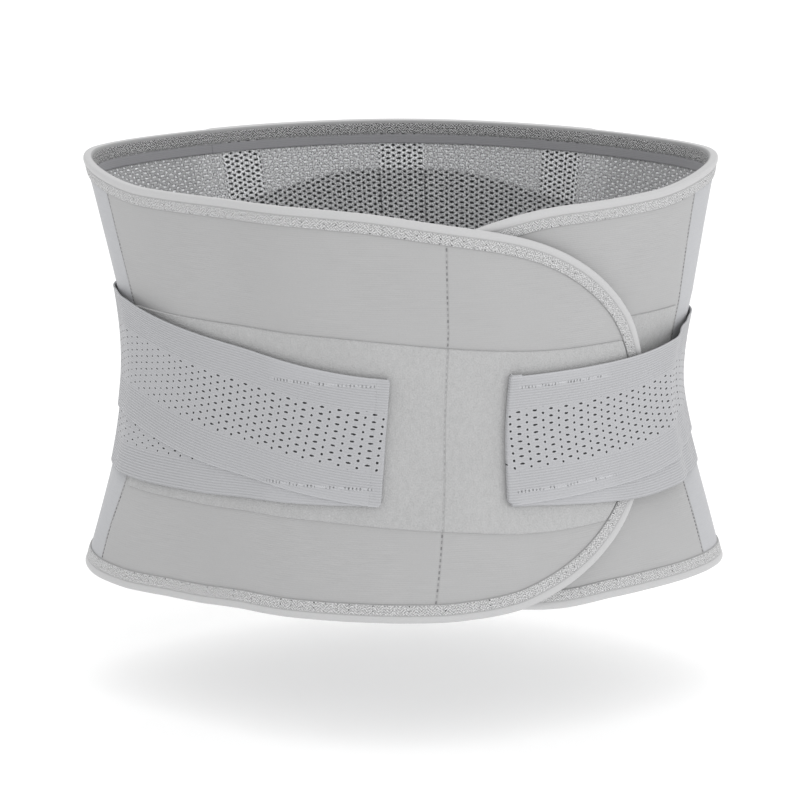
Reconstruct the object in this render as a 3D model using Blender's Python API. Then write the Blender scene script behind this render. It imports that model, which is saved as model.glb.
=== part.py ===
"""Lumbar support belt, closed into a ring and standing on its lower edge.

Units are metres, +Z is up and the overlap of the two front flaps faces -Y.
Every soft layer is cut as a flat pattern. The pattern coordinates are s, the
distance round the belt from the front centre towards +X, z, the height, and
d, the distance outwards from the face that touches the wearer. Each pattern
is then wrapped round the torso section.
"""

import math

import bmesh
import bpy
from mathutils import Vector

# Torso section: half width and half depth of the inner face
WAIST_HEIGHT = 0.098
WAIST_HALF_WIDTH = 0.1378
WAIST_HALF_DEPTH = 0.1055
FLARE_UP = 0.213
FLARE_DOWN = 0.29
FLARE_SOFTNESS = 0.006
DEPTH_FLARE = 0.29
SIDE_TUCK = 0.30
REFERENCE_HALF_WIDTH = 0.150
REFERENCE_HALF_DEPTH = 0.108
SECTION_COLUMNS = 40
CENTRING_SHIFT = 0.0015
ROW_HEIGHTS = (0.0, 0.035, 0.07, 0.105, 0.14, 0.175, 0.21)

# Layer build-up
GAP = 0.0003
LINING_THICKNESS = 0.0008
SHELL_THICKNESS = 0.0020
LOOP_THICKNESS = 0.0006
HOOK_THICKNESS = 0.0008
BAND_THICKNESS = 0.0012
BINDING_THICKNESS = 0.0006
LUMBAR_PAD_THICKNESS = 0.0006
STAY_THICKNESS = 0.0012
POCKET_THICKNESS = 0.0005
BACK_SHELL_THICKNESS = 0.0012
TAPE_THICKNESS = 0.0006

# Panels
BACK_HEIGHT = 0.210
FRONT_HEIGHT = 0.2005
BACK_SEAM = 0.290
SIDE_SEAM = 0.168
SHOULDER_START = 0.135
SHOULDER_END = 0.215
TIP_HEIGHT = 0.092
TIP_SQUARENESS = 1.95
TIP_POINTS = 9
LEFT_TIP = 0.139
LEFT_TOP_CURVE_START = -0.020
LEFT_BOTTOM_CURVE_START = 0.015
RIGHT_TIP = 0.040
RIGHT_CURVE_START = -0.085
BINDING_HEIGHT = 0.009
INNER_ELASTIC_HEIGHT = 0.005

# Hook and loop faces
LOOP_BOTTOM = 0.051
LOOP_TOP = 0.1405
LOOP_FALL = 0.045
LOOP_SIDE_MARGIN = 0.004
PAD_MARGIN = 0.002
HOOK_PAD_START = 0.018

# Straps
STRAP_HINGE = 0.205
LOW_FLARE = 0.050
UPPER_BAND_HEIGHT = 0.062
LOWER_BAND_HEIGHT = 0.058
TAB_HEIGHT = 0.062
TAB_CENTRE = 0.088
TAB_LENGTH = 0.058
TAB_EDGE_WIDTH = 0.004
LEFT_TAB_END = -0.008
RIGHT_TAB_END = 0.049

# Runs of the elastic bands: height at the tab, where the slope starts, slope, where it ends
LEFT_UPPER_RUN = (0.0878, 0.010, 0.134, 0.175)
LEFT_LOWER_RUN = (0.0862, 0.010, -0.029, 0.163)
RIGHT_UPPER_RUN = (0.0872, 0.125, 0.20, 0.178)
RIGHT_LOWER_RUN = (0.0850, 0.049, -0.08, 0.125)

# Ramps that carry one layer over the edge of another
OVERLAP_RAMP = (-0.0935, -0.0472)
TIP_RAMP = (0.1547, 0.171)
PATCH_RAMP = (0.171, 0.1855)

# Back
LUMBAR_TOP = 0.183
LUMBAR_SHOULDER = 0.174
LUMBAR_BOTTOM = 0.016
LUMBAR_HALF_WIDTH = 0.097
POCKET_OFFSETS = (-0.088, 0.0, 0.088)
POCKET_WIDTH = 0.024
STAY_OFFSETS = (-0.088, -0.0058, 0.0058, 0.088)
STAY_WIDTH = 0.010
STAY_MARGIN = 0.022
POCKET_MARGIN = 0.014
TAPE_WIDTH = 0.012

FRONT_GREY = (0.42, 0.42, 0.43)
SIDE_GREY = (0.46, 0.47, 0.49)
MESH_GREY = (0.22, 0.22, 0.23)
PAD_GREY = (0.53, 0.53, 0.54)
BAND_GREY = (0.44, 0.44, 0.47)
TRIM_GREY = (0.60, 0.60, 0.61)
HOOK_GREY = (0.30, 0.30, 0.31)
STAY_GREY = (0.70, 0.71, 0.72)

WING_OUTER = LINING_THICKNESS + GAP + SHELL_THICKNESS
BACK_OUTER = (
    LINING_THICKNESS
    + LUMBAR_PAD_THICKNESS
    + STAY_THICKNESS
    + POCKET_THICKNESS
    + BACK_SHELL_THICKNESS
    + 4 * GAP
)
OVERLAP_LIFT = WING_OUTER + LOOP_THICKNESS + HOOK_THICKNESS + 3 * GAP
PATCH_LIFT = LOOP_THICKNESS + HOOK_THICKNESS + 2 * GAP
LOWER_BAND_INNER = WING_OUTER + GAP
UPPER_BAND_INNER = LOWER_BAND_INNER + BAND_THICKNESS + GAP
EDGE_ROOM = GAP + BINDING_THICKNESS
LEG = BINDING_HEIGHT - EDGE_ROOM
HINGE_REACH = UPPER_BAND_INNER + BAND_THICKNESS + 2 * GAP


def section(angle):
    """Unit section point and outward normal; angle 0 is the front centre."""
    turn = angle - math.pi / 2
    c, s = math.cos(turn), math.sin(turn)
    point = Vector((c, s * (1 - SIDE_TUCK * c * c)))
    tangent = Vector(
        (
            -REFERENCE_HALF_WIDTH * s,
            REFERENCE_HALF_DEPTH * c * (1 - SIDE_TUCK * c * c + 2 * SIDE_TUCK * s * s),
        )
    )
    tangent.normalize()
    return point, Vector((tangent.y, -tangent.x))


def build_columns():
    """Arc length, section point and normal at every column, twice round the belt."""
    steps_per_column = 50
    columns = []
    travelled = 0.0
    last = None
    for step in range(-SECTION_COLUMNS * steps_per_column, SECTION_COLUMNS * steps_per_column + 1):
        angle = 2 * math.pi * step / (SECTION_COLUMNS * steps_per_column)
        point, normal = section(angle)
        here = Vector((point.x * REFERENCE_HALF_WIDTH, point.y * REFERENCE_HALF_DEPTH))
        if last is not None:
            travelled += (here - last).length
        last = here
        if step % steps_per_column == 0:
            columns.append((travelled, point, normal))
    middle = columns[SECTION_COLUMNS][0]
    return [(s - middle, point, normal) for s, point, normal in columns]


COLUMNS = build_columns()
PERIMETER = COLUMNS[-1][0]
BACK_CENTRE = PERIMETER / 2


def flare(z):
    """Half width and half depth of the section, straight between two rows."""
    sizes = []
    for row in ROW_HEIGHTS:
        rate = FLARE_UP if row > WAIST_HEIGHT else FLARE_DOWN
        growth = math.hypot(FLARE_SOFTNESS, rate * (row - WAIST_HEIGHT)) - FLARE_SOFTNESS
        sizes.append((WAIST_HALF_WIDTH + growth, WAIST_HALF_DEPTH + DEPTH_FLARE * growth))
    for low in range(len(ROW_HEIGHTS) - 1):
        if z <= ROW_HEIGHTS[low + 1] or low == len(ROW_HEIGHTS) - 2:
            share = (z - ROW_HEIGHTS[low]) / (ROW_HEIGHTS[low + 1] - ROW_HEIGHTS[low])
            width = sizes[low][0] + share * (sizes[low + 1][0] - sizes[low][0])
            depth = sizes[low][1] + share * (sizes[low + 1][1] - sizes[low][1])
            return width, depth


def wrap(s, z, d, lift):
    """World position of a pattern point. All layers share the same facets."""
    low = 0
    while COLUMNS[low + 1][0] < s:
        low += 1
    start, end = COLUMNS[low], COLUMNS[low + 1]
    share = (s - start[0]) / (end[0] - start[0])
    width, depth = flare(z)
    point = start[1].lerp(end[1], share)
    normal = start[2].lerp(end[2], share)
    out = d + (1 - share) * lift(start[0]) + share * lift(end[0])
    across = width * point.x + out * normal.x
    along = depth * point.y + out * normal.y + CENTRING_SHIFT
    return Vector((across, along, z))


def ramp(s, limits):
    share = (s - limits[0]) / (limits[1] - limits[0])
    return min(1.0, max(0.0, share))


def no_lift(s):
    return 0.0


def left_flap_lift(s):
    return OVERLAP_LIFT * ramp(s, OVERLAP_RAMP)


def left_strap_lift(s):
    return left_flap_lift(s) + PATCH_LIFT * (1 - ramp(-s, PATCH_RAMP))


def right_strap_lift(s):
    return OVERLAP_LIFT * (1 - ramp(s, TIP_RAMP)) + PATCH_LIFT * (1 - ramp(s, PATCH_RAMP))


def material(name, colour, roughness=0.85):
    mat = bpy.data.materials.new(name)
    mat.use_nodes = True
    shader = mat.node_tree.nodes["Principled BSDF"]
    shader.inputs["Base Color"].default_value = (*colour, 1.0)
    shader.inputs["Roughness"].default_value = roughness
    mat.diffuse_color = (*colour, 1.0)
    return mat


def add_object(name, pattern, lift, colour, axis, roughness=0.85):
    """Cuts a closed pattern solid along the shared facets and wraps it round the torso."""
    spread = [v.co.x for v in pattern.verts]
    cuts = [(Vector((c[0], 0, 0)), Vector((1, 0, 0))) for c in COLUMNS if min(spread) < c[0] < max(spread)]
    cuts += [(Vector((0, 0, row)), Vector((0, 0, 1))) for row in ROW_HEIGHTS[1:-1]]
    for place, facing in cuts:
        whole = pattern.verts[:] + pattern.edges[:] + pattern.faces[:]
        bmesh.ops.bisect_plane(pattern, geom=whole, dist=1e-5, plane_co=place, plane_no=facing)
    for vert in pattern.verts:
        vert.co = wrap(vert.co.x, vert.co.z, vert.co.y, lift) - axis
    bmesh.ops.triangulate(pattern, faces=pattern.faces[:])
    bmesh.ops.recalc_face_normals(pattern, faces=pattern.faces[:])
    mesh = bpy.data.meshes.new(name)
    pattern.to_mesh(mesh)
    pattern.free()
    for face in mesh.polygons:
        face.use_smooth = True
    mesh.set_sharp_from_angle(angle=math.radians(35))
    mesh.materials.append(material(name + "_cloth", colour, roughness))
    obj = bpy.data.objects.new(name, mesh)
    obj.location = axis
    bpy.context.scene.collection.objects.link(obj)
    return obj


def cut_panel(name, outline, inner, thickness, lift, colour, axis, roughness=0.85):
    """A flat pattern piece: outline in (s, z), inner face at inner, given thickness."""
    pattern = bmesh.new()
    corners = [pattern.verts.new((s, inner, z)) for s, z in outline]
    face = pattern.faces.new(corners)
    grown = bmesh.ops.extrude_face_region(pattern, geom=[face])
    for item in grown["geom"]:
        if isinstance(item, bmesh.types.BMVert):
            item.co.y += thickness
    return add_object(name, pattern, lift, colour, axis, roughness)


def close_rings(pattern, rings):
    """Skins a row of matching rings and caps both ends."""
    for one, two in zip(rings, rings[1:]):
        for i in range(len(one)):
            j = (i + 1) % len(one)
            pattern.faces.new((one[i], one[j], two[j], two[i]))
    pattern.faces.new(rings[0][::-1])
    pattern.faces.new(rings[-1])


def offset_path(path, distance):
    """Points moved to the right-hand side of an open path by distance."""
    moved = []
    for i, (s, z) in enumerate(path):
        before = path[max(0, i - 1)]
        after = path[min(len(path) - 1, i + 1)]
        along = Vector((after[0] - before[0], after[1] - before[1])).normalized()
        if 0 < i < len(path) - 1:
            first = Vector((s - before[0], z - before[1])).normalized()
            stretch = 1 / max(0.5, along.dot(first))
        else:
            stretch = 1.0
        moved.append((s + along.y * distance * stretch, z - along.x * distance * stretch))
    return moved


def binding(name, path, outer, lift, axis):
    """A folded tape over the edge that runs along path, with the cloth on its right."""
    over = -(GAP + BINDING_THICKNESS)
    rings = [offset_path(path, amount) for amount in (LEG, -GAP, over)]
    inner_legs = (-GAP - BINDING_THICKNESS, -GAP)
    outer_legs = (outer + GAP, outer + GAP + BINDING_THICKNESS)
    pattern = bmesh.new()
    loops = []
    for leg_point, wall_point, edge_point in zip(*rings):
        profile = [
            (leg_point, inner_legs[0]),
            (edge_point, inner_legs[0]),
            (edge_point, outer_legs[1]),
            (leg_point, outer_legs[1]),
            (leg_point, outer_legs[0]),
            (wall_point, outer_legs[0]),
            (wall_point, inner_legs[1]),
            (leg_point, inner_legs[1]),
        ]
        loops.append([pattern.verts.new((s, d, z)) for (s, z), d in profile])
    close_rings(pattern, loops)
    return add_object(name, pattern, lift, TRIM_GREY, axis)


def shoulder(s):
    """Height of the top edge at a distance from the front centre."""
    share = ramp(abs(s), (SHOULDER_START, SHOULDER_END))
    return FRONT_HEIGHT + (BACK_HEIGHT - FRONT_HEIGHT) * share * share * (3 - 2 * share)


def flap_tip(tip, start, edge_height):
    """Points of one quarter of a rounded flap end, from the straight edge to the tip."""
    points = []
    for i in range(1, TIP_POINTS + 1):
        turn = math.pi / 2 * i / TIP_POINTS
        along = math.sin(turn) ** (2 / TIP_SQUARENESS)
        across = max(0.0, math.cos(turn)) ** (2 / TIP_SQUARENESS)
        points.append((start + (tip - start) * along, TIP_HEIGHT + (edge_height - TIP_HEIGHT) * across))
    return points


def wing_outline(sign, rear, tip, top_start, bottom_start):
    """Edge of a wing from the rear of its top edge, round the tip, to the rear below.

    sign is -1 for the left wing, whose tip lies towards +X, and +1 for the right one.
    Distances are measured from the front centre towards the tip.
    """
    path = []
    rear_steps = 6
    for i in range(rear_steps + 1):
        distance = rear + (SHOULDER_START - rear) * i / rear_steps
        path.append((-distance, shoulder(distance) - EDGE_ROOM))
    path.append((top_start, FRONT_HEIGHT - EDGE_ROOM))
    path += flap_tip(tip, top_start, FRONT_HEIGHT - EDGE_ROOM)
    path += flap_tip(tip, bottom_start, EDGE_ROOM)[-2::-1]
    path.append((bottom_start, EDGE_ROOM))
    path.append((-rear, EDGE_ROOM))
    return [(-sign * s, z) for s, z in path]


def clip(outline, s_factor, z_factor, limit):
    """The part of a closed outline where s_factor * s + z_factor * z is above limit."""
    kept = []
    for (s0, z0), (s1, z1) in zip(outline, outline[1:] + outline[:1]):
        over0 = s_factor * s0 + z_factor * z0 - limit
        over1 = s_factor * s1 + z_factor * z1 - limit
        if over0 >= 0:
            kept.append((s0, z0))
        if (over0 >= 0) != (over1 >= 0):
            share = over0 / (over0 - over1)
            kept.append((s0 + share * (s1 - s0), z0 + share * (z1 - z0)))
    return kept


def band_outline(sign, near, far, run, height):
    """An elastic band between two distances from the front centre."""
    start, bend, slope, level = run
    marks = sorted([near, far] + [m for m in (bend, level) if near < m < far])
    middles = [start + slope * (min(max(m, bend), level) - bend) for m in marks]
    upper = [(sign * m, middle + height / 2) for m, middle in zip(marks, middles)]
    lower = [(sign * m, middle - height / 2) for m, middle in zip(marks, middles)]
    return upper + lower[::-1]


def rectangle(s0, s1, z0, z1):
    return [(s0, z0), (s1, z0), (s1, z1), (s0, z1)]


def hinge_axis(s, z):
    """Upright axis on the outermost face of the belt where it flares out most, at height z."""
    return Vector((*wrap(s, z, HINGE_REACH, no_lift).xy, 0.0))


def build_back():
    axis = Vector((0, 0, 0))
    right_edge = BACK_SEAM + GAP
    left_edge = PERIMETER - right_edge
    low, high = EDGE_ROOM, BACK_HEIGHT - EDGE_ROOM
    whole = rectangle(right_edge, left_edge, low, high)
    level = 0.0
    cut_panel("back_lining", whole, level, LINING_THICKNESS, no_lift, MESH_GREY, axis)
    level += LINING_THICKNESS + GAP
    pad = [
        (BACK_CENTRE - LUMBAR_HALF_WIDTH, LUMBAR_BOTTOM),
        (BACK_CENTRE + LUMBAR_HALF_WIDTH, LUMBAR_BOTTOM),
        (BACK_CENTRE + LUMBAR_HALF_WIDTH, LUMBAR_SHOULDER),
        (BACK_CENTRE + LUMBAR_HALF_WIDTH / 2, LUMBAR_TOP),
        (BACK_CENTRE - LUMBAR_HALF_WIDTH / 2, LUMBAR_TOP),
        (BACK_CENTRE - LUMBAR_HALF_WIDTH, LUMBAR_SHOULDER),
    ]
    cut_panel("lumbar_pad", pad, level, LUMBAR_PAD_THICKNESS, no_lift, PAD_GREY, axis)
    level += LUMBAR_PAD_THICKNESS + GAP
    build_strips("stay", STAY_OFFSETS, STAY_WIDTH, STAY_MARGIN, level, STAY_THICKNESS, STAY_GREY, axis)
    level += STAY_THICKNESS + GAP
    build_strips(
        "stay_pocket", POCKET_OFFSETS, POCKET_WIDTH, POCKET_MARGIN, level, POCKET_THICKNESS, TRIM_GREY, axis
    )
    level += POCKET_THICKNESS + GAP
    cut_panel("back_panel", whole, level, BACK_SHELL_THICKNESS, no_lift, FRONT_GREY, axis)
    binding("back_binding_top", [(right_edge, high), (left_edge, high)], BACK_OUTER, no_lift, axis)
    binding("back_binding_bottom", [(left_edge, low), (right_edge, low)], BACK_OUTER, no_lift, axis)
    elastics = (
        ("inner_elastic_top", BACK_HEIGHT - BINDING_HEIGHT - GAP - INNER_ELASTIC_HEIGHT),
        ("inner_elastic_bottom", BINDING_HEIGHT + GAP),
    )
    for name, bottom in elastics:
        strip = rectangle(right_edge, left_edge, bottom, bottom + INNER_ELASTIC_HEIGHT)
        cut_panel(name, strip, -EDGE_ROOM, BINDING_THICKNESS, no_lift, BAND_GREY, axis)
    for side, edge, inward in (("right", right_edge, TAPE_WIDTH), ("left", left_edge, -TAPE_WIDTH)):
        ends = sorted((edge, edge + inward))
        strip = rectangle(*ends, BINDING_HEIGHT + GAP, BACK_HEIGHT - BINDING_HEIGHT - GAP)
        cut_panel(f"seam_tape_{side}", strip, BACK_OUTER + GAP, TAPE_THICKNESS, no_lift, TRIM_GREY, axis)


def build_strips(name, offsets, width, margin, level, thickness, colour, axis):
    """Upright strips side by side across the back."""
    for number, offset in enumerate(offsets, 1):
        middle = BACK_CENTRE + offset
        strip = rectangle(middle - width / 2, middle + width / 2, margin, BACK_HEIGHT - margin)
        cut_panel(f"{name}_{number}", strip, level, thickness, no_lift, colour, axis)


def build_wing(side, sign, curve, lift, axis):
    outline = wing_outline(sign, BACK_SEAM - GAP, *curve)
    cut_panel(f"{side}_lining", outline, 0.0, LINING_THICKNESS, lift, MESH_GREY, axis)
    shell = LINING_THICKNESS + GAP
    rear = clip(outline, sign, 0, SIDE_SEAM + GAP / 2)
    front = clip(outline, -sign, 0, GAP / 2 - SIDE_SEAM)
    cut_panel(f"{side}_side_panel", rear, shell, SHELL_THICKNESS, lift, SIDE_GREY, axis)
    cut_panel(f"{side}_front_panel", front, shell, SHELL_THICKNESS, lift, FRONT_GREY, axis)
    path = outline if sign < 0 else outline[::-1]
    binding(f"{side}_binding", path, WING_OUTER, lift, axis)
    inset = offset_path(path, LEG + PAD_MARGIN)
    seam_side = LOOP_SIDE_MARGIN - SIDE_SEAM
    pad = clip(inset, -sign, 0, seam_side)
    pad = clip(pad, -LOOP_FALL * -sign, -1, -LOOP_TOP - LOOP_FALL * seam_side)
    pad = clip(pad, LOOP_FALL * -sign, 1, LOOP_BOTTOM + LOOP_FALL * seam_side)
    cut_panel(f"{side}_loop_pad", pad, WING_OUTER + GAP, LOOP_THICKNESS, lift, PAD_GREY, axis)
    return inset


def build_strap(side, sign, tab_end, upper, lower, lift, wing_axis, strap_axis):
    tab = sign * tab_end
    near = tab + EDGE_ROOM
    bands = (
        ("upper", UPPER_BAND_HEIGHT, UPPER_BAND_INNER, upper),
        ("lower", LOWER_BAND_HEIGHT, LOWER_BAND_INNER, lower),
    )
    for name, height, inner, run in bands:
        anchor = band_outline(sign, STRAP_HINGE + GAP, BACK_SEAM - GAP, run, height)
        cut_panel(f"{side}_{name}_band_rear", anchor, inner, BAND_THICKNESS, lift, BAND_GREY, wing_axis)
        front = band_outline(sign, near, STRAP_HINGE - GAP, run, height)
        cut_panel(f"{side}_{name}_band", front, inner, BAND_THICKNESS, lift, BAND_GREY, strap_axis)
    low, high = TAB_CENTRE - TAB_HEIGHT / 2, TAB_CENTRE + TAB_HEIGHT / 2
    patch = rectangle(*sorted((sign * near, sign * (tab + TAB_LENGTH))), low, high)
    patch_inner = LOWER_BAND_INNER - GAP - HOOK_THICKNESS
    cut_panel(f"{side}_hook_patch", patch, patch_inner, HOOK_THICKNESS, lift, HOOK_GREY, strap_axis)
    build_tab_edge(side, sign, tab, patch_inner, low, high, lift, strap_axis)


def build_tab_edge(side, sign, tab, inner, low, high, lift, axis):
    """A folded tape over the free end of a strap."""
    top = UPPER_BAND_INNER + BAND_THICKNESS + GAP
    wall, toe = tab + BINDING_THICKNESS, tab + TAB_EDGE_WIDTH
    profile = [
        (tab, inner),
        (wall, inner),
        (wall, top),
        (toe, top),
        (toe, top + BINDING_THICKNESS),
        (tab, top + BINDING_THICKNESS),
    ]
    pattern = bmesh.new()
    rings = [[pattern.verts.new((sign * s, d, z)) for s, d in profile] for z in (low, high)]
    close_rings(pattern, rings)
    add_object(f"{side}_tab_edge", pattern, lift, TRIM_GREY, axis)


def main():
    for item in list(bpy.data.objects):
        bpy.data.objects.remove(item, do_unlink=True)
    build_back()
    for side, sign, curve, lift, tab_end, upper, lower, strap_lift in SIDES:
        wing_axis = hinge_axis(sign * BACK_SEAM, 0.0)
        strap_axis = hinge_axis(sign * STRAP_HINGE, LOW_FLARE)
        inset = build_wing(side, sign, curve, lift, wing_axis)
        if side == "left":
            hook = clip(inset, 1, 0, HOOK_PAD_START)
            hook_inner = -GAP - HOOK_THICKNESS
            cut_panel("left_hook_pad", hook, hook_inner, HOOK_THICKNESS, lift, HOOK_GREY, wing_axis)
        build_strap(side, sign, tab_end, upper, lower, strap_lift, wing_axis, strap_axis)


SIDES = (
    (
        "left",
        -1,
        (LEFT_TIP, LEFT_TOP_CURVE_START, LEFT_BOTTOM_CURVE_START),
        left_flap_lift,
        LEFT_TAB_END,
        LEFT_UPPER_RUN,
        LEFT_LOWER_RUN,
        left_strap_lift,
    ),
    (
        "right",
        1,
        (RIGHT_TIP, RIGHT_CURVE_START, RIGHT_CURVE_START),
        no_lift,
        RIGHT_TAB_END,
        RIGHT_UPPER_RUN,
        RIGHT_LOWER_RUN,
        right_strap_lift,
    ),
)

main()
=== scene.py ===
"""Looks of the lumbar support belt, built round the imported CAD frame.

Every soft piece is cut in pattern coordinates and wrapped round the torso
section: s is the distance round the belt from the front centre towards +X,
z the height and d the distance outwards from the face that touches the
wearer. Left and right are those of someone looking at the front overlap.
Lengths are in metres unless a comment or a factor of MM says otherwise.
"""

import math

import bpy
import numpy as np
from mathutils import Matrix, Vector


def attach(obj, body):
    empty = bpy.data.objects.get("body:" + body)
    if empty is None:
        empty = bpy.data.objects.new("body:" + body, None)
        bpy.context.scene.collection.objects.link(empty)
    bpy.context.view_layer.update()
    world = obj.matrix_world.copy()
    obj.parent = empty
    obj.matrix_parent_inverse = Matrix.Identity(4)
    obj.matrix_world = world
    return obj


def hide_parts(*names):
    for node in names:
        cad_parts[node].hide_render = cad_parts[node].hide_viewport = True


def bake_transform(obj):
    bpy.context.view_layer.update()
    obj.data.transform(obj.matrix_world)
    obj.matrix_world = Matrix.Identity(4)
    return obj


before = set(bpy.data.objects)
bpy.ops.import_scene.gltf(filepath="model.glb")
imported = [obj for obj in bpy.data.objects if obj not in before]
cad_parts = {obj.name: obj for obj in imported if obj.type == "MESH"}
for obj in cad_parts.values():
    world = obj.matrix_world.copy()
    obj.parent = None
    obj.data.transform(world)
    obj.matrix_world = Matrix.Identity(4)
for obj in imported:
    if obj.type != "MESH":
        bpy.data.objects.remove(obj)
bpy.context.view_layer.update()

MM = 0.001

# Torso section, as the CAD part has it
WAIST_HEIGHT = 0.098
WAIST_HALF_WIDTH = 0.1378
WAIST_HALF_DEPTH = 0.1055
FLARE_UP = 0.213
FLARE_DOWN = 0.290
FLARE_SOFTNESS = 0.006
DEPTH_FLARE = 0.29
SIDE_TUCK = 0.30
REFERENCE_HALF_WIDTH = 0.150
REFERENCE_HALF_DEPTH = 0.108
CENTRING_SHIFT = 0.0015

# Layers, from the wearer outwards
GAP = 0.0003
LINING = 0.0008
SHELL = 0.0020
LOOP = 0.0006
HOOK = 0.0008
BAND = 0.0009
TAPE = 0.0006
LUMBAR_PAD = 0.0006
STAY = 0.0012
POCKET = 0.0005
BACK_SHELL = 0.0012
WING_OUTER = LINING + GAP + SHELL
LUMBAR_INNER = LINING + GAP
STAY_INNER = LUMBAR_INNER + LUMBAR_PAD + GAP
POCKET_INNER = STAY_INNER + STAY + GAP
BACK_INNER = POCKET_INNER + POCKET + GAP
BACK_OUTER = BACK_INNER + BACK_SHELL
OVERLAP_LIFT = WING_OUTER + LOOP + HOOK + 3 * GAP
PATCH_LIFT = LOOP + HOOK + 2 * GAP
LOWER_BAND_INNER = WING_OUTER + 0.00015
UPPER_BAND_INNER = LOWER_BAND_INNER + BAND + 0.0001
EDGE_ROOM = GAP + TAPE

# Panels
BACK_HEIGHT = 0.210
FRONT_HEIGHT = 0.2005
BACK_SEAM = 0.290
SIDE_SEAM = 0.168
SHOULDER = (0.135, 0.215)
TIP_HEIGHT = 0.092
TIP_SQUARENESS = 1.95
BINDING_WIDTH = 0.0093
BINDING_INSIDE = 0.0072
COLUMN_STEP = 0.0025
SEAM_SWAY = {"left": 0.0048, "right": 0.0018}

# Hook and loop faces
THINNEST = 0.0005
LOOP_TOP = (0.138, 0.128)
LOOP_BOTTOM = (0.048, 0.040)
LOOP_FALL = (-0.05, 0.09)
LOOP_REAR = 0.164
PAD_INSET = 0.0101
HOOK_PAD_START = 0.018

# Straps
STRAP_HINGE = 0.205
BAND_HEIGHTS = {"upper": 0.062, "lower": 0.058}
TAB_CENTRE = 0.088
TAB_HEIGHT = 0.062
TAB_LENGTH = 0.058
TAB_CORNER = 0.0016
TAB_MARGIN = 0.0004
SIDE_SLACK = {"left": 0.0019, "right": 0.0004}
SIDE_GAPE = {"left": 0.0013, "right": 0.0006}
OVERLAP_RAMP = (-0.0935, -0.0472)
TIP_RAMP = (0.1547, 0.171)
PATCH_RAMP = (0.171, 0.1855)

# Bends, from where one body is followed to where the other is, on the right side
FOLD_END = 0.204
WING_BEND = ((0.1085, 0.0735), (0.1505, 0.0195))
STRAP_BEND = ((0.1400, 0.0085), (0.1400, -0.0380))

# Back
TAPER_START = 0.1005
INNER_ELASTIC = 0.005
INNER_ELASTIC_TOP = BINDING_INSIDE + 0.0002 + INNER_ELASTIC
INNER_ELASTIC_END = {"left": -0.120, "right": -0.130}
POCKET_OFFSETS = (-0.088, 0.0, 0.088)
POCKET_ENDS = (0.014, 0.196)
POCKET_HALF_WIDTH = 0.012
STAY_OFFSETS = (-0.088, -0.0058, 0.0058, 0.088)
STAY_ENDS = (0.022, 0.188)
STAY_HALF_WIDTH = 0.005
LUMBAR_PAD_ENDS = (0.016, 0.183)
LUMBAR_PAD_FALL = 0.009
LUMBAR_PAD_HALF_WIDTH = 0.097
CHANNEL_OFFSETS = (0.012, 0.076, 0.100)
SEAM_TAPE_WIDTH = 0.012
SEAM_TAPE_MARGIN = 0.0095

# How the sewn cloth settles: a small lean, an uneven hem (rises in millimetres) and a soft ripple
LEAN_HEIGHTS = (0.0, 0.09, 0.14, 0.175, 0.205)
LEANS = (0.0, 0.0, 0.0010, -0.0008, -0.0019)
HEM_PLACES = (
    -0.24, -0.173, -0.147, -0.12, -0.098, -0.075, 0.03, 0.053, 0.075, 0.100, 0.125, 0.15, 0.173, 0.24,
)
HEM_RISES = (0.0, -4.5, -4.6, -3.0, -2.5, -0.9, -1.0, -2.4, -1.5, 0.0, 0.0, -0.4, -0.4, 0.0)
RIPPLE = 0.00045

# Colours
PANEL_COLOUR = (0.400, 0.400, 0.402)
PILE_COLOUR = (0.430, 0.431, 0.433)
TWILL_COLOUR = (0.50, 0.50, 0.51)

# What differs between the wings. sign is the side of the front centre a wing comes from.
# tip is how far past the centre it ends, and its edges round off from top_start and
# bottom_start. sag is the depth, middle and width of the dip in the top edge. tab is the
# distance of the strap's free end from the centre, slant its tilt, lean that of its pattern
# and seam_rise the height of what is sewn across it. upper and lower are the bands' centre
# lines, as (distance from the front centre, height) in millimetres.

WINGS = {
    "left": {
        "sign": -1,
        "tip": 0.139,
        "top_start": -0.020,
        "bottom_start": 0.015,
        "sag": (0.0042, 0.018, 0.042),
        "tab": 0.0089,
        "slant": -0.057,
        "lean": 0.0,
        "seam_rise": 0.0025,
        "upper": (
            (10, 87.8), (32, 90.0), (53, 93.0), (76, 96.0), (100, 98.6), (127, 102.2), (157, 108.0),
            (175, 111.6),
        ),
        "lower": ((10, 86.2), (62, 84.5), (109, 82.8), (165, 81.8), (205, 82.0), (290, 83.0)),
    },
    "right": {
        "sign": 1,
        "tip": 0.040,
        "top_start": -0.085,
        "bottom_start": -0.085,
        "sag": (0.0028, -0.080, 0.060),
        "tab": 0.0500,
        "slant": 0.036,
        "lean": 0.10,
        "seam_rise": -0.0006,
        "upper": (
            (50, 87.0), (100, 87.5), (122, 88.3), (134, 89.3), (146, 91.2), (158, 93.8), (177, 97.8),
            (190, 99.0),
        ),
        "lower": (
            (56, 84.4), (78, 81.8), (101, 78.7), (125, 76.6), (138, 77.4), (165, 79.8), (205, 81.0),
            (290, 83.0),
        ),
    },
}


# ---------------------------------------------------------------- shape


def section_table():
    """Arc length round the reference section with its unit points and normals."""
    turn = np.linspace(-2 * np.pi, 2 * np.pi, 8001) - np.pi / 2
    c, s = np.cos(turn), np.sin(turn)
    px, py = c, s * (1 - SIDE_TUCK * c * c)
    tx = -REFERENCE_HALF_WIDTH * s
    ty = REFERENCE_HALF_DEPTH * c * (1 - SIDE_TUCK * c * c + 2 * SIDE_TUCK * s * s)
    size = np.hypot(tx, ty)
    steps = np.hypot(np.diff(px) * REFERENCE_HALF_WIDTH, np.diff(py) * REFERENCE_HALF_DEPTH)
    arc = np.concatenate([[0.0], np.cumsum(steps)])
    return arc - arc[len(arc) // 2], (px, py, ty / size, -tx / size)


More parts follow.
